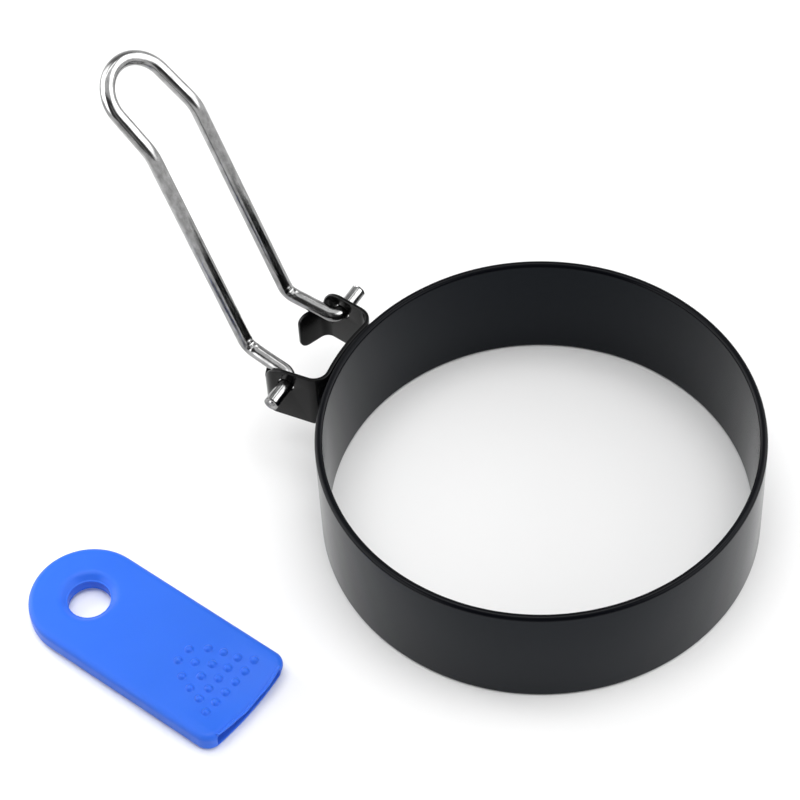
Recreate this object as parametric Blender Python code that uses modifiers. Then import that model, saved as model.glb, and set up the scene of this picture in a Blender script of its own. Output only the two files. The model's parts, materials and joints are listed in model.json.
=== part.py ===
"""Egg ring: a coated steel band, a folded bracket on its outside, a wire handle that
folds over into the ring, and a silicone sleeve that slips over the handle's loop.

Sizes are in metres and +Z is up. The handle points along -X, its pins lie along Y, and the
origin is the middle of the whole object's footprint, on the surface that it stands on.
"""

import math

import bmesh
import bpy
from mathutils import Matrix, Vector

# Ring band
RING_DIAMETER = 0.089
RING_HEIGHT = 0.026
RING_WALL = 0.0015
RING_EDGE_ROUND = 0.00065

# Handle bracket: one folded strip of sheet, its web welded to the outside of the ring
SHEET = 0.0008
SHEET_EDGE_ROUND = 0.0002
WELD_GAP = 0.0003
BRACKET_BOTTOM = 0.0118
BRACKET_HEIGHT = 0.01395
EAR_SPACING = 0.0221  # middle of one ear's sheet to the other's, at the pins
EAR_FLARE = math.radians(6.9)
WEB_BEND_INSIDE = 0.0028
EAR_PAST_PIN = 0.0029  # flat ear left beyond the pins, up to the stop tab's bend
EAR_CORNER_PAST_PIN = 0.0004
TAB_BEND_INSIDE = 0.002
TAB_BEND_ANGLE = math.radians(75.5)
TAB_LENGTH = 0.0052
TAB_CORNER_TOP = 0.0022
TAB_CORNER_BOTTOM = 0.0021
STOP_GAP = 0.0003
PIN_HOLE_CLEARANCE = 0.0005

# Wire handle, sizes along the middle of the wire
WIRE = 0.003
PIN_REACH = 0.00785  # from the ring's outside to the pins' axis
PIN_HEIGHT = 0.0219
PIN_SPREAD = 0.0343  # from one pin's cut end to the other's
SHOULDER_SPREAD = 0.0176
KNEE_SPREAD = 0.01572
NECK_SPREAD = 0.0155
SHOULDER_LENGTH = 0.0116
LEG_LENGTH = 0.05025
NECK_LENGTH = 0.00897  # from the neck bend to the middle of the loop's arc
SHOULDER_RISE = math.radians(13.0)
LEG_RISE = math.radians(69.8)
NECK_RISE = math.radians(42.9)
LOOP_RADIUS = 0.00735
SHOULDER_BEND = 0.0025
KNEE_BEND = 0.0035
NECK_BEND = 0.009
WIRE_SIDES = 16

# Grip sleeve, lying beside the ring
SLEEVE_WALL = 0.0008
POCKET_CLEARANCE = 0.0001
SLEEVE_WIDTH = 0.0243
SLEEVE_LENGTH = 0.0544
SLEEVE_EDGE_ROUND = 0.0015
MOUTH_BULGE = 0.001
MOUTH_CORNER = 0.00275
POCKET_SIDE_GAP = 0.00035  # between the wire's loop and the pocket's side
POCKET_EDGE_ROUND = 0.0006
HANGING_HOLE_DIAMETER = 0.0088
HOLE_COLLAR_WALL = 0.0011
DOME_DIAMETER = 0.0016
DOME_HEIGHT = 0.00042
DOME_PITCH = 0.00297
DOME_FIELD_FROM_MOUTH = 0.00497  # the widest column, from the mouth's corners
DOME_FIELD_OFFSET = 0.0005
DOME_COLUMNS = (2, 3, 4, 5, 6)
DOME_SPACING_SHARES = (1.09, 1.34, 1.15, 0.98, 0.99)  # of the pitch, column by column
DOME_SEGMENTS = 12
DOME_RINGS = 8
SLEEVE_SEAT = (-0.0668, -0.0649)  # hanging hole's middle, from the ring's axis
SLEEVE_TURN = math.radians(-7.25)

FACET_DEPTH = 0.000012  # how far the middle of a straight piece lies inside its true arc
MERGE_DISTANCE = 0.000002
OVERRUN = 0.002  # cutters reach this far past the faces that they cut

# Sizes that follow from those above
RING_RADIUS = RING_DIAMETER / 2
WIRE_RADIUS = WIRE / 2
PIN_AXIS = RING_RADIUS + PIN_REACH
WEB_RADIUS = RING_RADIUS + WELD_GAP + SHEET / 2
WEB_BEND = WEB_BEND_INSIDE + SHEET / 2
TAB_BEND = TAB_BEND_INSIDE + SHEET / 2
PIN_HOLE_RADIUS = WIRE_RADIUS + PIN_HOLE_CLEARANCE
BRACKET_TOP = BRACKET_BOTTOM + BRACKET_HEIGHT
POCKET_HEIGHT = WIRE + POCKET_CLEARANCE
SLEEVE_THICKNESS = POCKET_HEIGHT + 2 * SLEEVE_WALL
SLEEVE_HALF = SLEEVE_WIDTH / 2
POCKET_HALF = NECK_SPREAD / 2 + WIRE_RADIUS + POCKET_SIDE_GAP
MOUTH_REACH = SLEEVE_LENGTH - SLEEVE_HALF - MOUTH_BULGE


def clear_scene():
    for obj in list(bpy.data.objects):
        bpy.data.objects.remove(obj, do_unlink=True)


def new_collection(name, cutters=False):
    collection = bpy.data.collections.new(name)
    collection.hide_render = cutters
    bpy.context.scene.collection.children.link(collection)
    return collection


def new_material(name, colour, roughness, metallic):
    material = bpy.data.materials.new(name)
    material.use_nodes = True
    shader = material.node_tree.nodes["Principled BSDF"]
    shader.inputs["Base Color"].default_value = (*colour, 1.0)
    shader.inputs["Roughness"].default_value = roughness
    shader.inputs["Metallic"].default_value = metallic
    material.diffuse_color = (*colour, 1.0)
    return material


def add_object(name, data, collection, parent=None, material=None):
    obj = bpy.data.objects.new(name, data)
    collection.objects.link(obj)
    obj.parent = parent
    if material:
        data.materials.append(material)
    return obj


def shade(mesh, angle=math.radians(40)):
    mesh.shade_smooth()
    mesh.set_sharp_from_angle(angle=angle)


def pieces_for(radius, turn):
    """How many straight pieces stand for an arc of this radius and turn."""
    step = 2 * math.acos(max(0, 1 - FACET_DEPTH / radius))
    return max(1, math.ceil(abs(turn) / step))


def arc(centre, radius, start, end):
    """Points on a flat arc, both ends included."""
    steps = pieces_for(radius, end - start)
    return [
        Vector((centre[0] + radius * math.cos(a), centre[1] + radius * math.sin(a)))
        for a in (start + (end - start) * i / steps for i in range(steps + 1))
    ]


def flat_solid(name, outlines, thickness, edge_round, collection, edge_steps=1):
    """A plate in local XY, centred on Z, as a mesh. An outline inside the first is a hole."""
    curve = bpy.data.curves.new(name, "CURVE")
    curve.dimensions = "2D"
    curve.fill_mode = "BOTH"
    curve.extrude = thickness / 2 - edge_round
    curve.bevel_depth = edge_round
    curve.bevel_resolution = edge_steps
    curve.offset = -edge_round
    for outline in outlines:
        spline = curve.splines.new("POLY")
        spline.use_cyclic_u = True
        spline.points.add(len(outline) - 1)
        for point, place in zip(spline.points, outline):
            point.co = (place[0], place[1], 0, 1)
    return curve_to_mesh(name, curve, collection)


def curve_to_mesh(name, curve, collection):
    guide = add_object(name + "_guide", curve, collection)
    bpy.context.view_layer.update()
    graph = bpy.context.evaluated_depsgraph_get()
    mesh = bpy.data.meshes.new_from_object(guide.evaluated_get(graph))
    bpy.data.objects.remove(guide, do_unlink=True)
    mesh.name = name
    shell = bmesh.new()
    shell.from_mesh(mesh)
    bmesh.ops.remove_doubles(shell, verts=shell.verts, dist=MERGE_DISTANCE)
    bmesh.ops.recalc_face_normals(shell, faces=shell.faces)
    shell.to_mesh(mesh)
    shell.free()
    return mesh


def add_boolean(obj, other, operation):
    modifier = obj.modifiers.new(other.name, "BOOLEAN")
    modifier.operation = operation
    modifier.solver = "EXACT"
    modifier.object = other


def mark_cutter(obj):
    obj.hide_render = True
    obj.display_type = "WIRE"


# Ring band


def ring_profile():
    """The band's section as a closed loop, down its outer side and up its inner side."""
    outside, inside = RING_RADIUS, RING_RADIUS - RING_WALL
    r = RING_EDGE_ROUND
    corners = (
        (outside - r, RING_HEIGHT - r, 90, 0),
        (outside - r, r, 0, -90),
        (inside + r, r, -90, -180),
        (inside + r, RING_HEIGHT - r, 180, 90),
    )
    points = []
    for x, z, start, end in corners:
        points += arc((x, z), r, math.radians(start), math.radians(end))
    return points


def build_ring(collection, parent, material):
    mesh = bpy.data.meshes.new("ring_band")
    points = ring_profile()
    mesh.from_pydata(
        [(x, 0, z) for x, z in points],
        [(i, (i + 1) % len(points)) for i in range(len(points))],
        [],
    )
    ring = add_object("ring_band", mesh, collection, parent, material)
    screw = ring.modifiers.new("turn", "SCREW")
    screw.steps = pieces_for(RING_RADIUS, 2 * math.pi)
    screw.render_steps = screw.steps
    screw.use_merge_vertices = True
    screw.merge_threshold = MERGE_DISTANCE
    screw.use_smooth_shade = True
    return ring


# Handle bracket


def bracket_bends():
    """(radius, length, turn) of each stretch of the sheet from its middle to one tab's end.

    The turn is positive to the left. The web follows the ring, so it turns left; the ear
    and the tab are folded to the right. A flat stretch has radius 0.
    """
    ear_line = EAR_SPACING / 2 * math.cos(EAR_FLARE) - PIN_AXIS * math.sin(EAR_FLARE)
    web_angle = EAR_FLARE + math.asin((ear_line - WEB_BEND) / (WEB_RADIUS + WEB_BEND))
    fold = math.pi / 2 + web_angle - EAR_FLARE
    ear_start = (WEB_RADIUS + WEB_BEND) * math.cos(web_angle) - WEB_BEND * math.sin(EAR_FLARE)
    pin_from_fold = (PIN_AXIS - ear_start) / math.cos(EAR_FLARE)
    return (
        (WEB_RADIUS, WEB_RADIUS * web_angle, web_angle),
        (WEB_BEND, WEB_BEND * fold, -fold),
        (0, pin_from_fold + EAR_PAST_PIN, 0),
        (TAB_BEND, TAB_BEND * TAB_BEND_ANGLE, -TAB_BEND_ANGLE),
        (0, TAB_LENGTH, 0),
    )


def bracket_place(distance):
    """Where the sheet's middle lies in plan, and its heading, at a distance from its middle.

    The plan has its first axis along the handle and its second along the pins.
    """
    place = Vector((WEB_RADIUS, 0))
    heading = math.pi / 2
    left = abs(distance)
    for _, length, turn in bracket_bends():
        step = min(left, length)
        angle = turn * step / length
        chord = step if angle == 0 else 2 * step / angle * math.sin(angle / 2)
        middle = heading + angle / 2
        place += chord * Vector((math.cos(middle), math.sin(middle)))
        heading += angle
        left -= step
    return place, heading


def bend_sheet(mesh):
    """Takes the flat blank, drawn as length by height, round the web, ears and tabs."""
    for vertex in mesh.vertices:
        along, height, off = vertex.co
        place, heading = bracket_place(along)
        place += off * Vector((math.sin(heading), -math.cos(heading)))
        side = math.copysign(1, along)
        vertex.co = (-place.x, -side * place.y, height)


def shoulder_underside(distance):
    """Height of the wire's underside at rest, this far out from the pins' axis."""
    middle = PIN_HEIGHT + distance * math.tan(SHOULDER_RISE)
    return middle - WIRE_RADIUS / math.cos(SHOULDER_RISE)


def build_bracket(collection, parent, material):
    lengths = [length for _, length, _ in bracket_bends()]
    end = sum(lengths)
    pin = sum(lengths[:3]) - EAR_PAST_PIN
    tab_top = shoulder_underside(EAR_PAST_PIN + TAB_BEND) - STOP_GAP
    corner = BRACKET_TOP - tab_top
    high, low = tab_top - TAB_CORNER_TOP, BRACKET_BOTTOM + TAB_CORNER_BOTTOM
    right = math.radians(90)
    half = arc((pin + EAR_CORNER_PAST_PIN, tab_top), corner, right, 0)
    half += arc((end - TAB_CORNER_TOP, high), TAB_CORNER_TOP, right, 0)
    half += arc((end - TAB_CORNER_BOTTOM, low), TAB_CORNER_BOTTOM, 0, -right)
    outline = half + [Vector((-x, y)) for x, y in reversed(half)]
    holes = [
        arc((side * pin, PIN_HEIGHT), PIN_HOLE_RADIUS, 0, 2 * math.pi)[:-1]
        for side in (-1, 1)
    ]
    mesh = flat_solid("handle_bracket", [outline, *holes], SHEET, SHEET_EDGE_ROUND, collection)

    blank = bmesh.new()
    blank.from_mesh(mesh)
    flat = math.radians(1)
    bmesh.ops.dissolve_limit(blank, angle_limit=flat, verts=blank.verts, edges=blank.edges)
    start = 0
    for radius, length, turn in bracket_bends():
        pieces = pieces_for(radius, turn) if turn else 1
        for i in range(pieces + 1):
            for side in (-1, 1):
                cut = side * (start + length * i / pieces)
                bmesh.ops.bisect_plane(
                    blank,
                    geom=blank.verts[:] + blank.edges[:] + blank.faces[:],
                    plane_co=(cut, 0, 0),
                    plane_no=(1, 0, 0),
                    dist=MERGE_DISTANCE,
                )
        start += length
    blank.to_mesh(mesh)
    blank.free()
    bend_sheet(mesh)
    shade(mesh)
    return add_object("handle_bracket", mesh, collection, parent, material)


# Wire handle


def rounded(before, corner, after, radius):
    """Points that take a wire round a corner on an arc."""
    into = (before - corner).normalized()
    out = (after - corner).normalized()
    half = into.angle(out) / 2
    centre = corner + (into + out).normalized() * radius / math.sin(half)
    start = corner + into * radius / math.tan(half) - centre
    sweep = math.pi - 2 * half
    steps = pieces_for(radius, sweep)
    normal = into.cross(out).normalized()
    return [
        centre + Matrix.Rotation(-sweep * i / steps, 3, normal) @ start
        for i in range(steps + 1)
    ]


def outward(rise):
    """A step away from the ring, climbing at this angle."""
    return Vector((-math.cos(rise), 0, math.sin(rise)))


def handle_side():
    """The wire's middle from one pin's end to the tip of the loop, from the pins' axis."""
    shoulder = Vector((0, -SHOULDER_SPREAD / 2, 0))
    pin_end = Vector((0, -PIN_SPREAD / 2, 0))
    knee = SHOULDER_LENGTH * outward(SHOULDER_RISE)
    neck = knee + LEG_LENGTH * outward(LEG_RISE)
    loop = neck + NECK_LENGTH * outward(NECK_RISE)
    knee.y = -KNEE_SPREAD / 2
    neck.y = -NECK_SPREAD / 2
    reach = math.hypot(NECK_LENGTH, neck.y)
    closing = math.asin(LOOP_RADIUS / reach) - math.atan2(-neck.y, NECK_LENGTH)
    across, along = Vector((0, -1, 0)), outward(NECK_RISE)
    tip = [
        loop + point.x * across + point.y * along
        for point in arc((0, 0), LOOP_RADIUS, -closing, math.pi / 2)
    ]
    return [
        pin_end,
        *rounded(pin_end, shoulder, knee, SHOULDER_BEND),
        *rounded(shoulder, knee, neck, KNEE_BEND),
        *rounded(knee, neck, tip[0], NECK_BEND),
        *tip,
    ]


def build_handle(collection, parent, material):
    side = handle_side()
    far_side = [Vector((p.x, -p.y, p.z)) for p in reversed(side[:-1])]
    points = side + far_side
    curve = bpy.data.curves.new("wire_handle", "CURVE")
    curve.dimensions = "3D"
    curve.bevel_depth = WIRE_RADIUS
    curve.bevel_resolution = (WIRE_SIDES - 4) // 2
    curve.use_fill_caps = True
    spline = curve.splines.new("POLY")
    spline.points.add(len(points) - 1)
    for point, place in zip(spline.points, points):
        point.co = (*place, 1)
    handle = add_object("wire_handle", curve, collection, parent, material)
    handle.location = (-PIN_AXIS, 0, PIN_HEIGHT)
    return handle


# Grip sleeve, drawn with its hanging hole's middle at the local origin and its mouth at +X


def sleeve_outline():
    right = math.radians(90)
    round_end = arc((0, 0), SLEEVE_HALF, right, 3 * right)
    corner_x, corner_y = MOUTH_REACH - MOUTH_CORNER, SLEEVE_HALF - MOUTH_CORNER
    lower = arc((corner_x, -corner_y), MOUTH_CORNER, -right, 0)
    upper = arc((corner_x, corner_y), MOUTH_CORNER, 0, right)
    bow = (corner_y**2 + MOUTH_BULGE**2) / (2 * MOUTH_BULGE)
    half = math.asin(corner_y / bow)
    mouth = arc((MOUTH_REACH + MOUTH_BULGE - bow, 0), bow, -half, half)[1:-1]
    return round_end + lower + mouth + upper


def build_pocket(collection, parent):
    right = math.radians(90)
    mouth = MOUTH_REACH + MOUTH_BULGE + OVERRUN
    slot = arc((0, 0), POCKET_HALF, right, 3 * right)
    slot += [Vector((mouth, -POCKET_HALF)), Vector((mouth, POCKET_HALF))]
    collar = arc((0, 0), HANGING_HOLE_DIAMETER / 2 + HOLE_COLLAR_WALL, 0, 4 * right)[:-1]
    mesh = flat_solid("pocket_cut", [slot, collar], POCKET_HEIGHT, POCKET_EDGE_ROUND, collection)
    pocket = add_object("pocket_cut", mesh, collection, parent)
    mark_cutter(pocket)
    return pocket


def build_domes(collection, parent):
    """Low grip bumps on the upper face, in columns that widen towards the mouth."""
    shape = bmesh.new()
    first = MOUTH_REACH - DOME_FIELD_FROM_MOUTH - (len(DOME_COLUMNS) - 1) * DOME_PITCH
    for column, (count, share) in enumerate(zip(DOME_COLUMNS, DOME_SPACING_SHARES)):
        for i in range(count):
            x = first + column * DOME_PITCH
            y = DOME_FIELD_OFFSET + (i - (count - 1) / 2) * share * DOME_PITCH
            place = Matrix.Translation((x, y, SLEEVE_THICKNESS / 2))
            size = Matrix.Diagonal((DOME_DIAMETER / 2, DOME_DIAMETER / 2, DOME_HEIGHT, 1))
            bmesh.ops.create_uvsphere(
                shape,
                u_segments=DOME_SEGMENTS,
                v_segments=DOME_RINGS,
                radius=1,
                matrix=place @ size,
            )
    mesh = bpy.data.meshes.new("grip_domes")
    shape.to_mesh(mesh)
    shape.free()
    domes = add_object("grip_domes", mesh, collection, parent)
    mark_cutter(domes)
    return domes


def build_sleeve(collection, cutters, parent, material):
    hole = arc((0, 0), HANGING_HOLE_DIAMETER / 2, 0, 2 * math.pi)[:-1]
    mesh = flat_solid(
        "grip_sleeve",
        [sleeve_outline(), hole],
        SLEEVE_THICKNESS,
        SLEEVE_EDGE_ROUND,
        collection,
        edge_steps=2,
    )
    sleeve = add_object("grip_sleeve", mesh, collection, parent, material)
    sleeve.location = (*SLEEVE_SEAT, SLEEVE_THICKNESS / 2)
    sleeve.rotation_euler.z = SLEEVE_TURN
    add_boolean(sleeve, build_pocket(cutters, sleeve), "DIFFERENCE")
    add_boolean(sleeve, build_domes(cutters, sleeve), "UNION")
    shade(mesh)
    return sleeve


def centre_on_origin(root, parts):
    """Moves everything so that the footprint's middle is the origin and the base is at 0."""
    bpy.context.view_layer.update()
    graph = bpy.context.evaluated_depsgraph_get()
    corners = []
    for part in parts:
        shown = part.evaluated_get(graph)
        mesh = shown.to_mesh()
        corners += [shown.matrix_world @ vertex.co for vertex in mesh.vertices]
        shown.to_mesh_clear()
    low = [min(corner[i] for corner in corners) for i in range(3)]
    high = [max(corner[i] for corner in corners) for i in range(3)]
    root.location = (-(low[0] + high[0]) / 2, -(low[1] + high[1]) / 2, -low[2])
    bpy.context.view_layer.update()


def main():
    clear_scene()
    parts = new_collection("egg_ring")
    cutters = new_collection("cutters", cutters=True)
    coating = new_material("black_coating", (0.012, 0.012, 0.013), 0.38, 0.0)
    steel = new_material("bright_wire", (0.72, 0.71, 0.70), 0.16, 1.0)
    silicone = new_material("blue_silicone", (0.035, 0.17, 0.86), 0.45, 0.0)
    root = add_object("ring_axis", None, parts)
    ring = build_ring(parts, root, coating)
    bracket = build_bracket(parts, root, coating)
    handle = build_handle(parts, root, steel)
    sleeve = build_sleeve(parts, cutters, root, silicone)
    centre_on_origin(root, (ring, bracket, handle, sleeve))


main()
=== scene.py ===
"""Looks for the egg ring: a coated steel ring and bracket, a polished wire handle and a blue
silicone sleeve, on a white table under soft studio light.

Sizes are in metres. Places in plan are counted from the ring's axis, read from the frame.
"""

import json
import math

import bmesh
import bpy
import numpy as np
from mathutils import Matrix, Vector


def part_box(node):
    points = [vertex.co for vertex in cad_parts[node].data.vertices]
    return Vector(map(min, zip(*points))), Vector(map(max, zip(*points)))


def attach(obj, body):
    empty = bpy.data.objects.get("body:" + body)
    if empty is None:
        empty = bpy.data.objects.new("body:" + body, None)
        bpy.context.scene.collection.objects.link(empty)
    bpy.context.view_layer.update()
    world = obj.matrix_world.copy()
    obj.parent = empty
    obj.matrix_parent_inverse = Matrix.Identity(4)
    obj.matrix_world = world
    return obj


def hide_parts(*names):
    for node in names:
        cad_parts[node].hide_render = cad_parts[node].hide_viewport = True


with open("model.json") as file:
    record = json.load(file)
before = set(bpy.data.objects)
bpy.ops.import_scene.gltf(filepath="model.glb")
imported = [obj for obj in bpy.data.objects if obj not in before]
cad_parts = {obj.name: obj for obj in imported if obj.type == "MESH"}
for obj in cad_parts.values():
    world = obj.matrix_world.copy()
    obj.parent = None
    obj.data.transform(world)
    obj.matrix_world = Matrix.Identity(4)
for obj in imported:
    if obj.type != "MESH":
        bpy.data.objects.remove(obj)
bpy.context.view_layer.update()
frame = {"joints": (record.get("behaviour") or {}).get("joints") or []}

RING_LOW, RING_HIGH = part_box("ring_band")
BRACKET_LOW, BRACKET_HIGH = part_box("handle_bracket")
SLEEVE_LOW, SLEEVE_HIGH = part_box("grip_sleeve")
PINS = Vector(next(j for j in frame["joints"] if j["name"] == "handle_fold")["pos_m"])
AXIS = Vector(((RING_LOW.x + RING_HIGH.x) / 2, (RING_LOW.y + RING_HIGH.y) / 2, 0))

# Camera, aimed from the ring's axis on the table
CAMERA_AZIMUTH = math.radians(33.2714)
CAMERA_ELEVATION = math.radians(51.2933)
CAMERA_ROLL = math.radians(-3.65652)
CAMERA_DISTANCE = 0.587098
CAMERA_PAN = (-0.02718, 0.02413)
SENSOR = 36.0
LENS = 129.603
CAMERA_CLIP = (0.01, 20.0)

# Ring
RING_RADIUS = (RING_HIGH.x - RING_LOW.x) / 2
RING_HEIGHT = RING_HIGH.z
RING_WALL = 0.0016
RING_EDGE_ROUND = 0.0007
RING_STEPS = 360
RING_OVER = 0.00008  # all round, past the solid
RING_OVAL = 0.00032  # past that, in one direction and its opposite
RING_OVAL_TOWARDS = math.radians(123)
RING_WAVER = 0.00001
RING_WAVES = ((3, 1.6, 0.7), (5, 1.0, 2.1), (9, 0.7, 0.0))  # waves round the ring, height, phase
RING_CREASE = math.radians(60)

# Bracket
SHEET = 0.0008
SHEET_EDGE_ROUND = 0.0002
SHEET_EDGE_STEPS = 4
WELD_GAP = 0.0003
BRACKET_BOTTOM, BRACKET_TOP = BRACKET_LOW.z, BRACKET_HIGH.z
EAR_SPACING = 0.0221
EAR_FLARE = math.radians(6.9)
WEB_BEND_INSIDE = 0.0028
EAR_PAST_PIN = 0.0029
EAR_CORNER_PAST_PIN = 0.0004
TAB_BEND_INSIDE = 0.002
TAB_BEND_ANGLE = math.radians(75.5)
TAB_LENGTH = 0.0052
TAB_CORNER_TOP = 0.0022
TAB_CORNER_BOTTOM = 0.0021
STOP_GAP = 0.0003
PIN_HOLE_CLEARANCE = 0.0002
SHEET_FLATNESS = math.radians(0.5)
BRACKET_CREASE = math.radians(40)

# Wire, sizes along its middle
WIRE = 0.003
PIN_HEIGHT = PINS.z
PIN_SPREAD = 0.0343
SHOULDER_SPREAD = 0.0176
KNEE_SPREAD = 0.01572
NECK_SPREAD = 0.0155
SHOULDER_LENGTH = 0.0116
LEG_LENGTH = 0.05025
NECK_LENGTH = 0.00917
SHOULDER_RISE = math.radians(13.0)
LEG_RISE = math.radians(69.8)
NECK_RISE = math.radians(42.9)
LOOP_RADIUS = 0.00735
SHOULDER_BEND = 0.0025
KNEE_BEND = 0.0035
NECK_BEND = 0.009
WIRE_SIDES = 48
WIRE_STEP = 0.0004
CUT_EDGE_ROUND = 0.0003
CUT_EDGE_STEPS = 6
CUT_FACE = (  # radius, and depth below the end
    (0.0011, 0.00002),
    (0.0009, 0.00026),
    (0.0007, 0.00028),
    (0.0005, 0.00004),
    (0.0002, 0.0),
)
NEAR_KNEE_SHIFT = Vector((0.0002, 0, -0.0003))
FAR_KNEE_SHIFT = Vector((0, 0, 0.0002))
PRESS_DEPTH = 0.00034  # of the bending tool's mark inside each knee
PRESS_LENGTH = 0.0008
PRESS_RIM = 0.00014
PRESS_RIM_PLACE = 0.0015
WIRE_CREASE = math.radians(50)

# Sleeve, drawn about its hanging hole's middle with its mouth at +X
SLEEVE_SEAT = Vector((-0.0668, -0.0649))
SLEEVE_TURN = math.radians(-7.25)
SLEEVE_THICKNESS = 0.0047
SLEEVE_WIDTH = 0.0243
SLEEVE_LENGTH = 0.0544
SLEEVE_EDGE_ROUND = 0.0013
MOUTH_BULGE = 0.001
MOUTH_CORNER = 0.00275
POCKET_HEIGHT = 0.0031
POCKET_HALF = 0.0096
POCKET_ROUND = 0.0006
HOLE_RADIUS = 0.0044
HOLE_EDGE = 0.0003
FUNNEL_WIDTH = 0.0015
FUNNEL_DEPTH = 0.0013
FUNNEL_BLEND = 0.0005
COLLAR_WALL = 0.0011
LIP_ROUND = 0.0003
LIP_SAG = 0.0011
LIP_SAG_LENGTH = 0.013
LOWER_LIP_BACK = 0.0004
LOWER_LIP_SLANT = 0.0003
DOME_RADIUS = 0.00085
DOME_HEIGHT = 0.0007
DOME_BLEND = 0.00012
DOME_PITCH = 0.00297
DOME_FIELD_FROM_MOUTH = 0.00497
DOME_FIELD_OFFSET = 0.0005
DOME_COLUMNS = (2, 3, 4, 5, 6)  # domes in each column, towards the mouth
DOME_SPACING_SHARES = (1.09, 1.34, 1.15, 0.98, 0.99)  # of the pitch, column by column
LIP_BEAD = 0.00028  # radius of the moulding's thin edge along the upper lip
LIP_BEAD_BACK = 0.0003
LIP_BEAD_SINK = 0.00008
LIP_BEAD_WAVER = 0.00008
LIP_BEAD_WAVE = 0.0011
HOLE_BEAD = 0.00018  # and round the hole, where the funnel meets it
SLEEVE_GRID = 0.0002
SLEEVE_GRID_MARGIN = 0.00054  # keeps the grid's planes off the sleeve's flat faces
SNAP_ROUNDS = 6  # times that the grid's points are pulled onto the surface
SNAP_REACH = 1 / 3  # of a cell, the most that a point moves in a round
SLOPE_REACH = 1 / 50  # of a cell, to each side, for the distance's slope
LEAST_SLOPE_SQUARED = 0.1

FACET_DEPTH = 0.000002  # how far a straight piece may lie inside its true arc

# Materials. Noises are a scale in cells a metre, a detail and a roughness.
NOISE_BAND = (0.3, 0.7)  # where most of a noise's values lie

RING_COATING = ((0.0021, 0.0024, 0.0036), (0.0029, 0.0033, 0.0048))
BRACKET_COATING = ((0.0025, 0.0025, 0.0026), (0.0035, 0.0035, 0.0036))
COATING_ROUGHNESS = (0.13, 0.19)
COATING_IOR = 1.22
COATING_CLOUDS = (60, 3, 0.5)
COATING_GRAIN = (2600, 2, 0.5)
COATING_GRAIN_DEPTH = 0.000004
COATING_PEEL = (700, 2, 0.5)
COATING_PEEL_DEPTH = 0.000006
# Painted reflection: the walls' gloss is tinted blue, so their reflections take a blue cast.
WALL_GLOSS = (0.66, 0.82, 1.0)
# Painted shade: the rim's gloss is tinted dark between the next two depths below the top, so its
# reflections look duller.
RIM_PAINTED_SHADE_GLOSS = (0.3, 0.3, 0.3)
RIM_PAINTED_SHADE_FROM = 0.0004
RIM_PAINTED_SHADE_TO = 0.0009
# Painted highlight: a full gloss tint in a thin band at the very top, a bright thread along the
# crown.
CROWN_PAINTED_HIGHLIGHT = (1.0, 1.0, 1.0)
CROWN_HIGHLIGHT_DEPTH = 0.00003

STEEL = ((0.17, 0.17, 0.17), (0.34, 0.34, 0.34))
STEEL_ROUGHNESS = (0.1, 0.2)
STEEL_CLOUDS = (220, 3, 0.5)
STEEL_DRAWN = (1, 3, 0.6)  # scaled by the next line
STEEL_DRAWN_CELLS = (420, 6000, 1)  # cells a metre along the wire and around it
STEEL_DRAWN_DEPTH = 0.000012
STEEL_PITS = (1800, 2, 0.5)
STEEL_PIT_DEPTH = 0.000004

SILICONE = ((0.0235, 0.128, 0.66), (0.0265, 0.137, 0.70))
SILICONE_ROUGHNESS = (0.33, 0.42)
SILICONE_IOR = 1.28
SILICONE_CLOUDS = (90, 3, 0.5)
SILICONE_GRAIN = (3200, 2, 0.5)
SILICONE_GRAIN_DEPTH = 0.000008
SILICONE_SUBSURFACE = 0.15
SILICONE_REACH = (0.1, 0.3, 1.0)
SILICONE_REACH_SCALE = 0.0012

TABLE = ((0.86, 0.86, 0.86), (0.88, 0.88, 0.88))
TABLE_ROUGHNESS = 0.7
TABLE_CLOUDS = (6, 2, 0.5)
TABLE_HALF = 2.0

# Studio. A sky is a grey level and its panels: azimuth, elevation, half sizes across and up,
# softness, all in degrees, and light. One sky lights the surfaces, the other shows in reflections.
SOFT_SKY = (
    0.15,
    (
        (0, 90, (22, 22), 10, 4.6),
        (-150, 22, (42, 34), 10, 0.2),
        (-62, 30, (38, 30), 10, 0.55),
        (32, 35, (36, 22), 8, 0.8),
        (125, 45, (28, 24), 10, 0.8),
        (32, 15, (36, 15), 8, 3.4),
    ),
)
MIRRORED_SKY = (
    1.15,
    (
        (0, 90, (35, 35), 12, 1.4),
        (125, 45, (28, 24), 10, 0.35),
        (145, 68, (26, 5), 3, 5.0),
        (-150, 22, (42, 34), 10, 6.0),
        (-62, 35, (38, 32), 7, 0.08),
        (-62, 26, (8, 26), 4, 0.4),
        (32, 35, (36, 22), 8, 5.5),
    ),
)
LAMP_FROM = (170, 32)  # azimuth and elevation, in degrees
LAMP_DISTANCE = 0.12
LAMP_SIZE = 0.05
LAMP_POWER = 0.06

# Sizes that follow
WIRE_RADIUS = WIRE / 2
PIN_AXIS = AXIS.x - PINS.x
WEB_RADIUS = RING_RADIUS + WELD_GAP + SHEET / 2
WEB_BEND = WEB_BEND_INSIDE + SHEET / 2
TAB_BEND = TAB_BEND_INSIDE + SHEET / 2
SLEEVE_HALF = SLEEVE_WIDTH / 2
MOUTH_REACH = SLEEVE_LENGTH - SLEEVE_HALF - MOUTH_BULGE


# Meshes


def new_object(name, mesh):
    obj = bpy.data.objects.new(name, mesh)
    bpy.context.scene.collection.objects.link(obj)
    return obj


def shade(mesh, crease):
    """Shades a mesh smooth, apart from the edges where it turns by more than the crease."""
    mesh.shade_smooth()
    mesh.set_sharp_from_angle(angle=crease)


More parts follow.
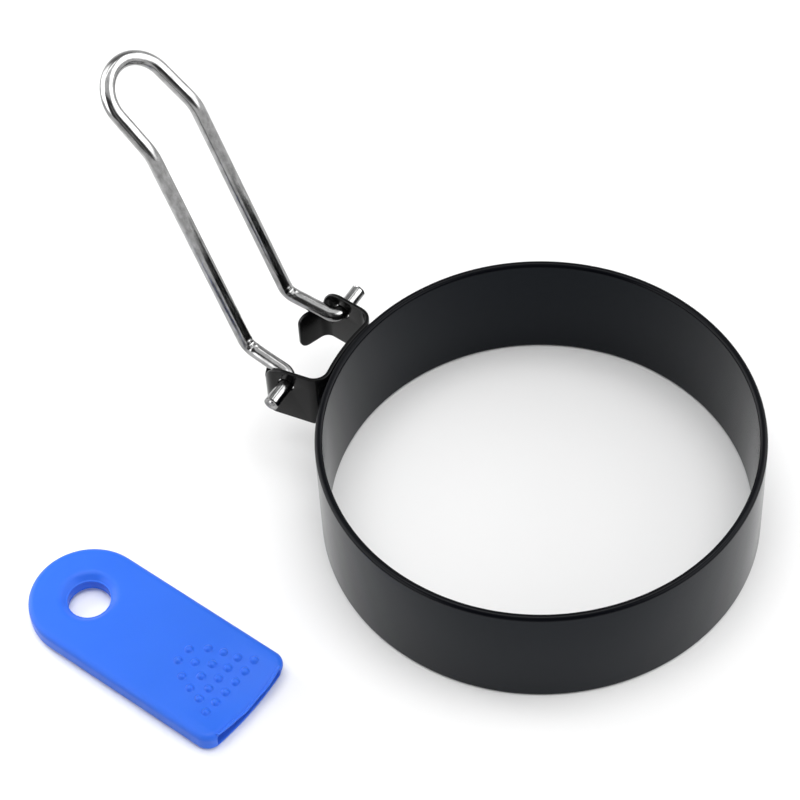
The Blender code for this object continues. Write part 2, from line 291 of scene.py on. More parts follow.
def grid_mesh(name, rings, closed_along):
    """A mesh from rings of points, each ring closed, with UVs along and around in metres."""
    count, sides = len(rings), len(rings[0])
    verts = [tuple(p) for ring in rings for p in ring]
    faces, uvs = [], []
    along = [0.0]
    for a, b in zip(rings, rings[1:] + rings[:1]):
        along.append(along[-1] + (Vector(b[0]) - Vector(a[0])).length)
    around = [0.0]
    for i in range(sides):
        step = Vector(rings[0][(i + 1) % sides]) - Vector(rings[0][i])
        around.append(around[-1] + step.length)
    for r in range(count if closed_along else count - 1):
        for i in range(sides):
            r2, i2 = (r + 1) % count, (i + 1) % sides
            faces.append((r * sides + i, r * sides + i2, r2 * sides + i2, r2 * sides + i))
            uvs += [
                (along[r], around[i]),
                (along[r], around[i + 1]),
                (along[r + 1], around[i + 1]),
                (along[r + 1], around[i]),
            ]
    mesh = bpy.data.meshes.new(name)
    mesh.from_pydata(verts, [], faces)
    layer = mesh.uv_layers.new(name="UVMap")
    for loop, uv in zip(layer.data, uvs):
        loop.uv = uv
    return mesh


def pieces_for(radius, turn):
    """How many straight pieces stand for an arc of this radius and turn."""
    step = 2 * math.acos(max(0, 1 - FACET_DEPTH / radius))
    return max(1, math.ceil(abs(turn) / step))


def arc(centre, radius, start, end):
    """Points on a flat arc, both ends included."""
    steps = pieces_for(radius, end - start)
    return [
        Vector((centre[0] + radius * math.cos(a), centre[1] + radius * math.sin(a)))
        for a in (start + (end - start) * i / steps for i in range(steps + 1))
    ]


# Ring


def ring_profile():
    """The band's section as a closed loop, down its outer side and up its inner side."""
    outside, inside = RING_RADIUS, RING_RADIUS - RING_WALL
    r = RING_EDGE_ROUND
    corners = (
        (outside - r, RING_HEIGHT - r, 90, 0),
        (outside - r, r, 0, -90),
        (inside + r, r, -90, -180),
        (inside + r, RING_HEIGHT - r, 180, 90),
    )
    points = []
    for x, z, start, end in corners:
        points += arc((x, z), r, math.radians(start), math.radians(end))
    return points


def build_ring():
    profile = ring_profile()
    rings = []
    for i in range(RING_STEPS):
        a = 2 * math.pi * i / RING_STEPS
        waver = sum(height * math.sin(waves * a + phase) for waves, height, phase in RING_WAVES)
        over = RING_OVER + RING_OVAL * math.cos(a - RING_OVAL_TOWARDS) ** 2
        over += RING_WAVER * waver
        rings.append(
            [
                AXIS + Vector(((p.x + over) * math.cos(a), (p.x + over) * math.sin(a), p.y))
                for p in profile
            ]
        )
    mesh = grid_mesh("coated_ring", rings, True)
    mesh.flip_normals()
    shade(mesh, RING_CREASE)
    ring = new_object("coated_ring", mesh)
    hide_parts("ring_band")
    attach(ring, "ring")
    return ring


# Bracket


def bracket_bends():
    """(radius, length, turn) of each stretch of the sheet from its middle to one tab's end.

    The turn is positive to the left. The web follows the ring, so it turns left; the ear
    and the tab are folded to the right. A flat stretch has radius 0.
    """
    ear_line = EAR_SPACING / 2 * math.cos(EAR_FLARE) - PIN_AXIS * math.sin(EAR_FLARE)
    web_angle = EAR_FLARE + math.asin((ear_line - WEB_BEND) / (WEB_RADIUS + WEB_BEND))
    fold = math.pi / 2 + web_angle - EAR_FLARE
    ear_start = (WEB_RADIUS + WEB_BEND) * math.cos(web_angle) - WEB_BEND * math.sin(EAR_FLARE)
    pin_from_fold = (PIN_AXIS - ear_start) / math.cos(EAR_FLARE)
    return (
        (WEB_RADIUS, WEB_RADIUS * web_angle, web_angle),
        (WEB_BEND, WEB_BEND * fold, -fold),
        (0, pin_from_fold + EAR_PAST_PIN, 0),
        (TAB_BEND, TAB_BEND * TAB_BEND_ANGLE, -TAB_BEND_ANGLE),
        (0, TAB_LENGTH, 0),
    )


def bracket_place(distance):
    """Where the sheet's middle lies in plan, and its heading, at a distance from its middle."""
    place = Vector((WEB_RADIUS, 0))
    heading = math.pi / 2
    left = abs(distance)
    for _, length, turn in bracket_bends():
        step = min(left, length)
        angle = turn * step / length
        chord = step if angle == 0 else 2 * step / angle * math.sin(angle / 2)
        middle = heading + angle / 2
        place += chord * Vector((math.cos(middle), math.sin(middle)))
        heading += angle
        left -= step
    return place, heading


def bracket_outline():
    """The blank's outline and its pin holes, with the sheet laid flat."""
    lengths = [length for _, length, _ in bracket_bends()]
    end = sum(lengths)
    pin = sum(lengths[:3]) - EAR_PAST_PIN  # the flat ear is the third stretch
    shoulder = PIN_HEIGHT + (EAR_PAST_PIN + TAB_BEND) * math.tan(SHOULDER_RISE)
    tab_top = shoulder - WIRE_RADIUS / math.cos(SHOULDER_RISE) - STOP_GAP
    corner = BRACKET_TOP - tab_top
    high, low = tab_top - TAB_CORNER_TOP, BRACKET_BOTTOM + TAB_CORNER_BOTTOM
    right = math.radians(90)
    half = arc((pin + EAR_CORNER_PAST_PIN, tab_top), corner, right, 0)
    half += arc((end - TAB_CORNER_TOP, high), TAB_CORNER_TOP, right, 0)
    half += arc((end - TAB_CORNER_BOTTOM, low), TAB_CORNER_BOTTOM, 0, -right)
    hole = WIRE_RADIUS + PIN_HOLE_CLEARANCE
    holes = [arc((side * pin, PIN_HEIGHT), hole, 0, 2 * math.pi)[:-1] for side in (-1, 1)]
    return [half + [Vector((-p.x, p.y)) for p in reversed(half)], *holes]


def flat_blank():
    """The sheet before it is bent: length along X, height along Y, thickness along Z."""
    curve = bpy.data.curves.new("blank", "CURVE")
    curve.dimensions = "2D"
    curve.fill_mode = "BOTH"
    curve.extrude = SHEET / 2 - SHEET_EDGE_ROUND
    curve.bevel_depth = SHEET_EDGE_ROUND
    curve.bevel_resolution = SHEET_EDGE_STEPS
    curve.offset = -SHEET_EDGE_ROUND
    for outline in bracket_outline():
        spline = curve.splines.new("POLY")
        spline.use_cyclic_u = True
        spline.points.add(len(outline) - 1)
        for point, place in zip(spline.points, outline):
            point.co = (place[0], place[1], 0, 1)
    guide = new_object("blank", curve)
    bpy.context.view_layer.update()
    graph = bpy.context.evaluated_depsgraph_get()
    mesh = bpy.data.meshes.new_from_object(guide.evaluated_get(graph))
    bpy.data.objects.remove(guide, do_unlink=True)
    mesh.name = "coated_bracket"
    mesh.materials.clear()
    return mesh


def cut_across_bends(blank):
    """Adds the lines that the sheet bends along."""
    start = 0
    for radius, length, turn in bracket_bends():
        pieces = pieces_for(radius, turn) if turn else 1
        for i in range(pieces + 1):
            for side in (-1, 1):
                bmesh.ops.bisect_plane(
                    blank,
                    geom=blank.verts[:] + blank.edges[:] + blank.faces[:],
                    plane_co=(side * (start + length * i / pieces), 0, 0),
                    plane_no=(1, 0, 0),
                    dist=FACET_DEPTH / 2,
                )
        start += length


def build_bracket():
    """The flat blank, bent by moving its points onto the bent sheet's line."""
    mesh = flat_blank()
    blank = bmesh.new()
    blank.from_mesh(mesh)
    bmesh.ops.remove_doubles(blank, verts=blank.verts, dist=FACET_DEPTH / 2)
    bmesh.ops.recalc_face_normals(blank, faces=blank.faces)
    bmesh.ops.dissolve_limit(
        blank, angle_limit=SHEET_FLATNESS, verts=blank.verts, edges=blank.edges
    )
    cut_across_bends(blank)
    bmesh.ops.triangulate(blank, faces=[f for f in blank.faces if len(f.verts) > 4])
    for vertex in blank.verts:
        along, height, off = vertex.co
        place, heading = bracket_place(along)
        place += off * Vector((math.sin(heading), -math.cos(heading)))
        side = math.copysign(1, along)
        vertex.co = AXIS + Vector((-place.x, -side * place.y, height))
    blank.to_mesh(mesh)
    blank.free()
    shade(mesh, BRACKET_CREASE)
    bracket = new_object("coated_bracket", mesh)
    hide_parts("handle_bracket")
    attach(bracket, "ring")
    return bracket


# Wire


def rounded(before, corner, after, radius):
    """Points that take a wire round a corner on an arc."""
    into = (before - corner).normalized()
    out = (after - corner).normalized()
    half = into.angle(out) / 2
    centre = corner + (into + out).normalized() * radius / math.sin(half)
    start = corner + into * radius / math.tan(half) - centre
    sweep = math.pi - 2 * half
    steps = pieces_for(radius, sweep)
    normal = into.cross(out).normalized()
    return [
        centre + Matrix.Rotation(-sweep * i / steps, 3, normal) @ start
        for i in range(steps + 1)
    ]


def outward(rise):
    """A step away from the ring, climbing at this angle."""
    return Vector((-math.cos(rise), 0, math.sin(rise)))


def handle_side(knee_shift):
    """The wire's middle from one pin's end to the loop's tip, and the place of its knee."""
    shoulder = Vector((0, -SHOULDER_SPREAD / 2, 0))
    pin_end = Vector((0, -PIN_SPREAD / 2, 0))
    knee = SHOULDER_LENGTH * outward(SHOULDER_RISE)
    neck = knee + LEG_LENGTH * outward(LEG_RISE)
    loop = neck + NECK_LENGTH * outward(NECK_RISE)
    knee += knee_shift
    knee.y = -KNEE_SPREAD / 2
    neck.y = -NECK_SPREAD / 2
    reach = math.hypot(NECK_LENGTH, neck.y)
    closing = math.asin(LOOP_RADIUS / reach) - math.atan2(-neck.y, NECK_LENGTH)
    across, along = Vector((0, -1, 0)), outward(NECK_RISE)
    tip = [
        loop + point.x * across + point.y * along
        for point in arc((0, 0), LOOP_RADIUS, -closing, math.pi / 2)
    ]
    return [
        pin_end,
        *rounded(pin_end, shoulder, knee, SHOULDER_BEND),
        *rounded(shoulder, knee, neck, KNEE_BEND),
        *rounded(knee, neck, tip[0], NECK_BEND),
        *tip,
    ], knee


def spaced(points, step):
    """The same line with no stretch longer than the step."""
    line = [points[0]]
    for a, b in zip(points, points[1:]):
        count = max(1, math.ceil((b - a).length / step))
        line += [a.lerp(b, i / count) for i in range(1, count + 1)]
    return line


def wire_line():
    """The wire's middle from one cut end to the other, and the places of its knees."""
    near, near_knee = handle_side(NEAR_KNEE_SHIFT)
    far, far_knee = handle_side(FAR_KNEE_SHIFT)
    *mirrored, far_knee = [Vector((p.x, -p.y, p.z)) for p in [*reversed(far[:-1]), far_knee]]
    line = [PINS + p for p in spaced(near + mirrored, WIRE_STEP)]
    return line, (PINS + near_knee, PINS + far_knee)


def press_mark(from_knee):
    """How far the tool's mark lifts the wire's inner side: a dent with a low rim on each side."""
    dent = PRESS_DEPTH * math.exp(-((from_knee / PRESS_LENGTH) ** 2))
    rim = PRESS_RIM * math.exp(-(((from_knee - PRESS_RIM_PLACE) / (PRESS_LENGTH / 2)) ** 2))
    return rim - dent


def build_wire():
    line, knees = wire_line()
    fold_in = (outward(LEG_RISE) - outward(SHOULDER_RISE)).normalized()
    rings = []
    sideways = Vector((0, 0, 1))  # carried along the wire, so that its sides don't twist
    for i, point in enumerate(line):
        heading = (line[min(i + 1, len(line) - 1)] - line[max(i - 1, 0)]).normalized()
        sideways = (sideways - sideways.dot(heading) * heading).normalized()
        other = heading.cross(sideways)
        lift = press_mark(min((point - knee).length for knee in knees))
        ring = []
        for j in range(WIRE_SIDES):
            a = 2 * math.pi * j / WIRE_SIDES
            out = math.cos(a) * sideways + math.sin(a) * other
            facing = max(0.0, out.dot(fold_in)) ** 2
            ring.append(point + out * (WIRE_RADIUS + lift * facing))
        rings.append((point, ring))
    rings = cut_ends(rings)
    mesh = grid_mesh("polished_wire", rings, False)
    cap_ends(mesh, len(rings), WIRE_SIDES)
    shade(mesh, WIRE_CREASE)
    wire = new_object("polished_wire", mesh)
    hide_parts("wire_handle")
    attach(wire, "handle")
    return wire


def cut_ends(rings):
    """Rounds off and dishes both cut ends with rings that draw in. Takes middles with rings."""
    first, second = rings[0], rings[1]
    last, before = rings[-1], rings[-2]
    shaped = [ring for _, ring in rings[1:-1]]
    for (end, ring), (inner, _), at_front in ((first, second, True), (last, before, False)):
        outward_step = (end - inner).normalized()
        made = []
        for i in range(CUT_EDGE_STEPS + 1):
            a = math.pi / 2 * i / CUT_EDGE_STEPS
            back = CUT_EDGE_ROUND * (1 - math.sin(a))
            shrink = 1 - CUT_EDGE_ROUND * (1 - math.cos(math.pi / 2 - a)) / WIRE_RADIUS
            middle = end - outward_step * back
            made.append([middle + (p - end) * shrink for p in ring])
        for radius, back in CUT_FACE:
            middle = end - outward_step * back
            made.append([middle + (p - end) * radius / WIRE_RADIUS for p in ring])
        shaped = made[::-1] + shaped if at_front else shaped + made
    return shaped


def cap_ends(mesh, count, sides):
    """Closes both ends of a tube."""
    shell = bmesh.new()
    shell.from_mesh(mesh)
    shell.verts.ensure_lookup_table()
    for start in (0, (count - 1) * sides):
        rim = [shell.verts[start + i] for i in range(sides)]
        shell.faces.new(rim)
    bmesh.ops.recalc_face_normals(shell, faces=shell.faces)
    shell.to_mesh(mesh)
    shell.free()


# Sleeve


def smooth_min(a, b, k):
    """The smaller of two distances, blended where they differ by less than k."""
    h = np.clip(0.5 + 0.5 * (b - a) / k, 0, 1)
    return b + (a - b) * h - k * h * (1 - h)


def smooth_step(x):
    x = np.clip(x, 0, 1)
    return x * x * (3 - 2 * x)


def box_distance(x, y, low, high, half, corner):
    """Distance to a flat box from low to high in X and across Y, with rounded corners."""
    qx = np.abs(x - (low + high) / 2) - (high - low) / 2 + corner
    qy = np.abs(y) - half + corner
    outside = np.hypot(np.maximum(qx, 0), np.maximum(qy, 0))
    return np.minimum(np.maximum(qx, qy), 0) + outside - corner


def slab(flat, z, half_height, corner):
    """Distance to a flat shape stood up to a height, its edges rounded."""
    a, b = flat + corner, np.abs(z) - half_height + corner
    return np.minimum(np.maximum(a, b), 0) + np.hypot(np.maximum(a, 0), np.maximum(b, 0)) - corner


def dome_places():
    """The middle of each dome of the grip, column by column."""
    first = MOUTH_REACH - DOME_FIELD_FROM_MOUTH - (len(DOME_COLUMNS) - 1) * DOME_PITCH
    for column, (count, share) in enumerate(zip(DOME_COLUMNS, DOME_SPACING_SHARES)):
        for i in range(count):
            y = DOME_FIELD_OFFSET + (i - (count - 1) / 2) * share * DOME_PITCH
            yield first + column * DOME_PITCH, y


def lip_shape(x, y, z):
    """Points moved so that the plain mouth has its sagging upper lip and its lower lip set back."""
    reach = smooth_step((x - MOUTH_REACH + LIP_SAG_LENGTH) / LIP_SAG_LENGTH)
    middle = np.clip(1 - (y / POCKET_HALF) ** 2, 0, 1)
    upper = smooth_step((z + POCKET_HEIGHT / 2) / POCKET_HEIGHT)
    back = LOWER_LIP_BACK + LOWER_LIP_SLANT * y / SLEEVE_HALF
    return x + reach * (1 - upper) * back, y, z + LIP_SAG * reach * middle * upper


def bow(x, y):
    """X with the mouth's bulge taken out."""
    return x - MOUTH_BULGE * (1 - (y / SLEEVE_HALF) ** 2) * np.clip(x / MOUTH_REACH, 0, 1)


def block_distance(x, y, z):
    """The sleeve without its pocket and hole."""
    straight = box_distance(bow(x, y), y, -SLEEVE_HALF, MOUTH_REACH, SLEEVE_HALF, MOUTH_CORNER)
    flat = np.where(x < 0, np.hypot(x, y) - SLEEVE_HALF, straight)
    return slab(flat, z, SLEEVE_THICKNESS / 2, SLEEVE_EDGE_ROUND)


def pocket_distance(x, y, z):
    from_hole = np.hypot(x, y)
    past_mouth = MOUTH_REACH + 4 * MOUTH_BULGE
    straight = box_distance(x, y, -SLEEVE_HALF, past_mouth, POCKET_HALF, LIP_ROUND)
    flat = np.where(x < 0, from_hole - POCKET_HALF, straight)
    flat = np.maximum(flat, HOLE_RADIUS + COLLAR_WALL - from_hole)
    return slab(flat, z, POCKET_HEIGHT / 2, POCKET_ROUND)


def funnel_distance(from_hole, z):
    """The two cones that widen the hole towards its faces."""
    slope = math.atan2(FUNNEL_DEPTH, FUNNEL_WIDTH)
    height = SLEEVE_THICKNESS / 2 - FUNNEL_DEPTH + (from_hole - HOLE_RADIUS) * math.tan(slope)
    return (height - np.abs(z)) * math.cos(slope)


def lip_bead_distance(x, y, z):
    along = bow(x, y) - MOUTH_REACH + LIP_BEAD_BACK + LIP_BEAD_WAVER * np.sin(y / LIP_BEAD_WAVE)
    bead = np.hypot(along, z - SLEEVE_THICKNESS / 2 + LIP_BEAD_SINK) - LIP_BEAD
    return np.maximum(bead, np.abs(y) - POCKET_HALF)


def hole_bead_distance(from_hole, z):
    out = from_hole - HOLE_RADIUS - HOLE_BEAD / 2
    return np.hypot(out, np.abs(z) - SLEEVE_THICKNESS / 2 + FUNNEL_DEPTH) - HOLE_BEAD


def cut(solid, tool, blend):
    """A solid with a tool's shape taken out of it and the edge softened."""
    return -smooth_min(-solid, tool, blend)


def sleeve_distance(p):
    """Distance from points to the sleeve's surface, negative inside."""
    x, y, z = lip_shape(p[..., 0], p[..., 1], p[..., 2])
    from_hole = np.hypot(x, y)
    solid = block_distance(x, y, z)
    solid = cut(solid, pocket_distance(x, y, z), LIP_ROUND)
    solid = cut(solid, from_hole - HOLE_RADIUS, HOLE_EDGE)
    solid = cut(solid, funnel_distance(from_hole, z), FUNNEL_BLEND)
    solid = smooth_min(solid, lip_bead_distance(x, y, z), LIP_BEAD / 2)
    solid = smooth_min(solid, hole_bead_distance(from_hole, z), HOLE_BEAD / 2)
    ball = (DOME_RADIUS**2 + DOME_HEIGHT**2) / (2 * DOME_HEIGHT)
    centre_z = SLEEVE_THICKNESS / 2 + DOME_HEIGHT - ball
    for place_x, place_y in dome_places():
        dome = np.sqrt((x - place_x) ** 2 + (y - place_y) ** 2 + (z - centre_z) ** 2) - ball
        solid = smooth_min(solid, dome, DOME_BLEND)
    return solid


def snapped(points, distance, step):
    """Points pulled onto a distance function's zero surface."""
    tiny = step * SLOPE_REACH
    for _ in range(SNAP_ROUNDS):
        value = distance(points)
        slope = np.stack(
            [
                (distance(points + tiny * unit) - distance(points - tiny * unit)) / (2 * tiny)
                for unit in np.eye(3)
            ],
            axis=1,
        )
        size = np.maximum((slope**2).sum(axis=1), LEAST_SLOPE_SQUARED)
        move = -(value / size)[:, None] * slope
        points = points + np.clip(move, -step * SNAP_REACH, step * SNAP_REACH)
    return points


def surface_of(distance, low, high, step):
    """Points and quads of a distance function's zero surface, by the surface nets method."""
    axes = [np.arange(a, b + step, step) for a, b in zip(low, high)]
    grid = np.stack(np.meshgrid(*axes, indexing="ij"), axis=-1)
    value = distance(grid)
    inside = value < 0
    corners_inside = sum(
        inside[i : i - 1 or None, j : j - 1 or None, k : k - 1 or None].astype(int)
        for i in (0, 1)
        for j in (0, 1)
        for k in (0, 1)
    )
    active = (corners_inside > 0) & (corners_inside < 8)
    index = -np.ones(active.shape, int)
    index[active] = np.arange(active.sum())
    points = (grid[:-1, :-1, :-1] + step / 2)[active]
    quads = []  # one for each edge of the grid that crosses the surface, joining the cells round it
    for axis in range(3):
        a, b = [d for d in range(3) if d != axis]
        lower = inside.take(range(value.shape[axis] - 1), axis)
        upper = inside.take(range(1, value.shape[axis]), axis)
        for crossing, flip in ((lower & ~upper, False), (~lower & upper, True)):
            where = np.argwhere(crossing)
            keep = (where[:, a] > 0) & (where[:, b] > 0)
            where = where[keep]
            corners = []
            for da, db in ((0, 0), (1, 0), (1, 1), (0, 1)):
                cell = where.copy()
                cell[:, a] -= da
                cell[:, b] -= db
                corners.append(index[tuple(cell.T)])
            quad = np.stack(corners, axis=1)
            if flip != (axis == 1):
                quad = quad[:, ::-1]
            quads.append(quad)
    return snapped(points, distance, step), np.concatenate(quads)


def build_sleeve():
    low = np.array((-SLEEVE_HALF, -SLEEVE_HALF, -SLEEVE_THICKNESS / 2))
    high = np.array((MOUTH_REACH + MOUTH_BULGE, SLEEVE_HALF, SLEEVE_THICKNESS / 2 + DOME_HEIGHT))
    points, quads = surface_of(
        sleeve_distance, low - SLEEVE_GRID_MARGIN, high + SLEEVE_GRID_MARGIN, SLEEVE_GRID
    )
    c, s = math.cos(SLEEVE_TURN), math.sin(SLEEVE_TURN)
    x = AXIS.x + SLEEVE_SEAT.x + points[:, 0] * c - points[:, 1] * s
    y = AXIS.y + SLEEVE_SEAT.y + points[:, 0] * s + points[:, 1] * c
    z = SLEEVE_THICKNESS / 2 + points[:, 2]
    mesh = bpy.data.meshes.new("silicone_sleeve")
    mesh.from_pydata(np.stack((x, y, z), axis=1).tolist(), [], quads.tolist())
    mesh.shade_smooth()
    sleeve = new_object("silicone_sleeve", mesh)
    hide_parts("grip_sleeve")
    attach(sleeve, "sleeve")
    sleeve.visible_glossy = False  # keeps its blue out of the wire
    return sleeve


# Materials


def new_material(name):
    """A new material, its node tree and its shader's inputs."""
    material = bpy.data.materials.new(name)
    material.use_nodes = True
    tree = material.node_tree
    return material, tree, tree.nodes["Principled BSDF"].inputs


def add_node(tree, kind, **settings):
    node = tree.nodes.new(kind)
    for key, value in settings.items():
        setattr(node, key, value)
    return node


def feed(tree, value, socket):
    """Links an output to a socket, or sets a plain value on it."""
    if isinstance(value, bpy.types.NodeSocket):
        tree.links.new(value, socket)
    else:
        socket.default_value = value


def coordinates(tree, kind):
    return add_node(tree, "ShaderNodeTexCoord").outputs[kind]


def noise(tree, place, scale, detail, roughness):
    node = add_node(tree, "ShaderNodeTexNoise")
    feed(tree, place, node.inputs["Vector"])
    feed(tree, scale, node.inputs["Scale"])
    feed(tree, detail, node.inputs["Detail"])
    feed(tree, roughness, node.inputs["Roughness"])
    return node.outputs["Fac"]


def remap(tree, value, given, wanted, **settings):
    """Spreads one range of values over another, and keeps the rest at its ends."""
    node = add_node(tree, "ShaderNodeMapRange", **settings)
    feed(tree, value, node.inputs["Value"])
    feed(tree, given[0], node.inputs["From Min"])
    feed(tree, given[1], node.inputs["From Max"])
    feed(tree, wanted[0], node.inputs["To Min"])
    feed(tree, wanted[1], node.inputs["To Max"])
    return node.outputs["Result"]


def bump(tree, height, depth, under=None):
    """A bump map, laid over another one if there is one."""
    node = add_node(tree, "ShaderNodeBump")
    feed(tree, height, node.inputs["Height"])
    feed(tree, depth, node.inputs["Distance"])
    feed(tree, 1.0, node.inputs["Strength"])
    if under:
        feed(tree, under, node.inputs["Normal"])
    return node.outputs["Normal"]


def mix_colour(tree, factor, first, second):
    """A mix of two colours, each plain or an output."""
    node = add_node(tree, "ShaderNodeMix", data_type="RGBA")
    feed(tree, factor, node.inputs["Factor"])
    for colour, name in ((first, "A"), (second, "B")):
        feed(tree, (*colour, 1) if isinstance(colour, tuple) else colour, node.inputs[name])
    return node.outputs["Result"]


def coating_material(name, colours):
    """Satin coating: clouds in its colour and gloss, orange peel and a fine grain."""
    material, tree, shader = new_material(name)
    place = coordinates(tree, "Object")
    clouds = noise(tree, place, *COATING_CLOUDS)
    grain = bump(tree, noise(tree, place, *COATING_GRAIN), COATING_GRAIN_DEPTH)
    peel = bump(tree, noise(tree, place, *COATING_PEEL), COATING_PEEL_DEPTH, grain)
    feed(tree, mix_colour(tree, clouds, *colours), shader["Base Color"])
    feed(tree, remap(tree, clouds, NOISE_BAND, COATING_ROUGHNESS), shader["Roughness"])
    feed(tree, peel, shader["Normal"])
    feed(tree, COATING_IOR, shader["IOR"])
    return material


def ring_material():
    """The coating, with a blue cast painted into the reflections of the walls, painted shade that
    dulls the rim's reflections, and a painted highlight along its crown.
    """
    material = coating_material("ring_coating", RING_COATING)
    tree = material.node_tree
    place = add_node(tree, "ShaderNodeSeparateXYZ")
    feed(tree, coordinates(tree, "Object"), place.inputs["Vector"])
    height = place.outputs["Z"]
    # Painted shade in the rim's gloss, and a painted highlight along the crown, both set by height.
    rim = (RING_HEIGHT - RIM_PAINTED_SHADE_TO, RING_HEIGHT - RIM_PAINTED_SHADE_FROM)
    crown_painted_highlight = (RING_HEIGHT - CROWN_HIGHLIGHT_DEPTH, RING_HEIGHT)
    gloss = mix_colour(tree, remap(tree, height, rim, (0, 1)), WALL_GLOSS, RIM_PAINTED_SHADE_GLOSS)
    gloss = mix_colour(tree, remap(tree, height, crown_painted_highlight, (0, 1)), gloss, CROWN_PAINTED_HIGHLIGHT)
    feed(tree, gloss, tree.nodes["Principled BSDF"].inputs["Specular Tint"])
    return material


def wire_material():
    """Bright steel: streaks drawn along the wire, clouds in its gloss and fine pits."""
    material, tree, shader = new_material("bright_wire")
    place = coordinates(tree, "Object")
    cells = add_node(tree, "ShaderNodeMapping")
    feed(tree, coordinates(tree, "UV"), cells.inputs["Vector"])
    feed(tree, STEEL_DRAWN_CELLS, cells.inputs["Scale"])
    drawn = noise(tree, cells.outputs["Vector"], *STEEL_DRAWN)
    clouds = noise(tree, place, *STEEL_CLOUDS)
    streaks = bump(tree, drawn, STEEL_DRAWN_DEPTH)
    pits = bump(tree, noise(tree, place, *STEEL_PITS), STEEL_PIT_DEPTH, streaks)
    feed(
        tree,
        mix_colour(tree, remap(tree, drawn, NOISE_BAND, (0, 1)), *STEEL),
        shader["Base Color"],
    )
    feed(tree, 1.0, shader["Metallic"])
    feed(tree, remap(tree, clouds, NOISE_BAND, STEEL_ROUGHNESS), shader["Roughness"])
    feed(tree, pits, shader["Normal"])
    return material


def silicone_material():
    """Matt silicone: clouds in its colour and gloss, a fine grain and some light under its skin."""
    material, tree, shader = new_material("blue_silicone")
    place = coordinates(tree, "Object")
    clouds = noise(tree, place, *SILICONE_CLOUDS)
    grain = bump(tree, noise(tree, place, *SILICONE_GRAIN), SILICONE_GRAIN_DEPTH)
    feed(tree, mix_colour(tree, clouds, *SILICONE), shader["Base Color"])
    feed(tree, remap(tree, clouds, NOISE_BAND, SILICONE_ROUGHNESS), shader["Roughness"])
    feed(tree, grain, shader["Normal"])
    feed(tree, SILICONE_IOR, shader["IOR"])
    feed(tree, SILICONE_SUBSURFACE, shader["Subsurface Weight"])
    feed(tree, SILICONE_REACH, shader["Subsurface Radius"])
    feed(tree, SILICONE_REACH_SCALE, shader["Subsurface Scale"])
    return material


def table_material():
    material, tree, shader = new_material("white_table")
    clouds = noise(tree, coordinates(tree, "Object"), *TABLE_CLOUDS)
    feed(tree, mix_colour(tree, clouds, *TABLE), shader["Base Color"])
    feed(tree, TABLE_ROUGHNESS, shader["Roughness"])
    return material


# Studio


def look_direction(azimuth, elevation):
    """A direction from degrees: azimuth from +X towards +Y, and elevation above the table."""
    a, e = math.radians(azimuth), math.radians(elevation)
    return Vector((math.cos(a) * math.cos(e), math.sin(a) * math.cos(e), math.sin(e)))


def dot_product(tree, direction, axis):
    node = add_node(tree, "ShaderNodeVectorMath", operation="DOT_PRODUCT")
    feed(tree, direction, node.inputs[0])
    feed(tree, axis, node.inputs[1])
    return node.outputs["Value"]


def calculate(tree, operation, *values):
    node = add_node(tree, "ShaderNodeMath", operation=operation)
    for value, socket in zip(values, node.inputs):
        feed(tree, value, socket)
    return node.outputs["Value"]


def within(tree, direction, axis, half, soft):
    """1 inside a panel's half size along an axis, and 0 outside, with a soft step."""
    off = calculate(tree, "ABSOLUTE", dot_product(tree, direction, axis))
    full = math.sin(math.radians(half - soft))
    none = math.sin(min(math.radians(half + soft), math.pi / 2))
    return remap(tree, off, (full, none), (1, 0), interpolation_type="SMOOTHSTEP")


def add_panel(tree, direction, colour, azimuth, elevation, half, soft, light):
    """Lays a soft-edged panel over a sky's colour."""
    middle = look_direction(azimuth, elevation)
    across = Vector((-middle.y, middle.x, 0)).normalized()
    inside = calculate(
        tree,
        "MULTIPLY",
        within(tree, direction, across, half[0], soft),
        within(tree, direction, middle.cross(across), half[1], soft),
    )
    ahead = calculate(tree, "GREATER_THAN", dot_product(tree, direction, middle), 0)
    inside = calculate(tree, "MULTIPLY", inside, ahead)
    return mix_colour(tree, inside, colour, (light, light, light))


def sky(tree, direction, level, panels):
    """A grey sky with soft-edged panels."""
    colour = (level, level, level)
    for panel in panels:
        colour = add_panel(tree, direction, colour, *panel)
    return colour


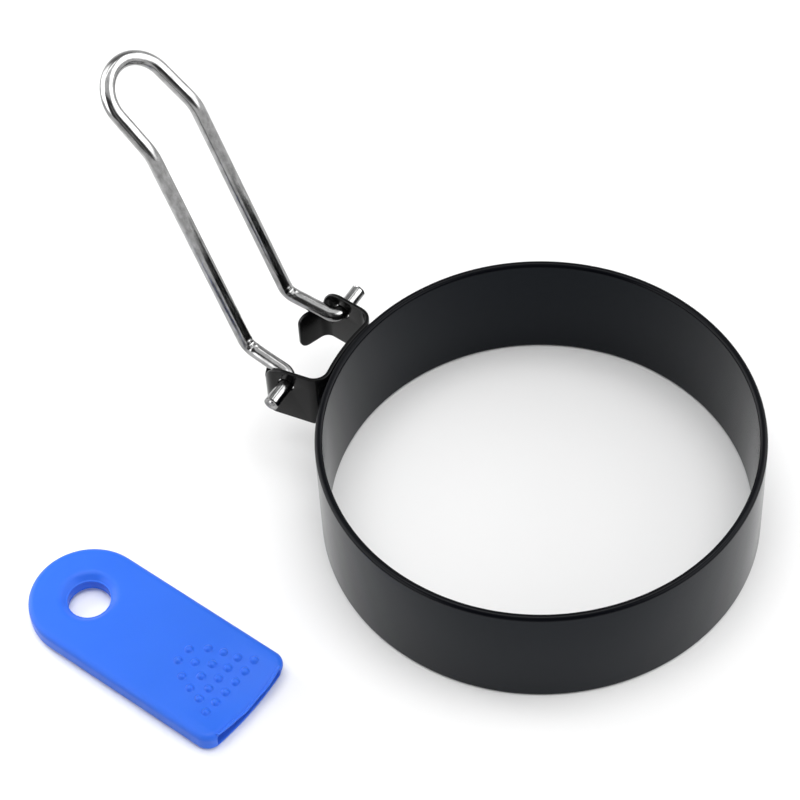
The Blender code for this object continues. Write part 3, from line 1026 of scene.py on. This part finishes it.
def build_world():
    world = bpy.data.worlds.new("studio")
    bpy.context.scene.world = world
    world.use_nodes = True
    tree = world.node_tree
    direction = coordinates(tree, "Generated")
    glossy = add_node(tree, "ShaderNodeLightPath").outputs["Is Glossy Ray"]
    soft, mirrored = sky(tree, direction, *SOFT_SKY), sky(tree, direction, *MIRRORED_SKY)
    feed(tree, mix_colour(tree, glossy, soft, mirrored), tree.nodes["Background"].inputs["Color"])


def build_table():
    mesh = bpy.data.meshes.new("studio_floor")
    corners = [(x * TABLE_HALF, y * TABLE_HALF, 0) for x, y in ((-1, -1), (1, -1), (1, 1), (-1, 1))]
    mesh.from_pydata(corners, [], [(0, 1, 2, 3)])
    mesh.materials.append(table_material())
    floor = new_object("studio_floor", mesh)


def build_lamp():
    """A soft lamp low over the sleeve's left, which models its bumps."""
    light = bpy.data.lights.new("lamp", "AREA")
    light.shape = "DISK"
    light.size = LAMP_SIZE
    light.energy = LAMP_POWER
    target = Vector(((SLEEVE_LOW.x + SLEEVE_HIGH.x) / 2, (SLEEVE_LOW.y + SLEEVE_HIGH.y) / 2, 0))
    lamp = new_object("lamp", light)
    lamp.location = target + LAMP_DISTANCE * look_direction(*LAMP_FROM)
    lamp.rotation_euler = (target - lamp.location).to_track_quat("-Z", "Y").to_euler()
    lamp.visible_glossy = False


def build_camera():
    camera = bpy.data.cameras.new("camera")
    camera.sensor_width = SENSOR
    camera.lens = LENS
    camera.clip_start, camera.clip_end = CAMERA_CLIP
    turn = (
        Matrix.Rotation(CAMERA_AZIMUTH, 4, "Z")
        @ Matrix.Rotation(math.pi / 2 - CAMERA_ELEVATION, 4, "X")
    )
    place = AXIS + turn @ Vector((*CAMERA_PAN, CAMERA_DISTANCE))
    eye = new_object("camera", camera)
    eye.matrix_world = Matrix.Translation(place) @ turn @ Matrix.Rotation(CAMERA_ROLL, 4, "Z")
    bpy.context.scene.camera = eye


def main():
    build_ring().data.materials.append(ring_material())
    coating = coating_material("bracket_coating", BRACKET_COATING)
    build_bracket().data.materials.append(coating)
    build_wire().data.materials.append(wire_material())
    build_sleeve().data.materials.append(silicone_material())
    build_table()
    build_world()
    build_lamp()
    build_camera()
    bpy.context.scene.view_settings.view_transform = "Standard"


main()
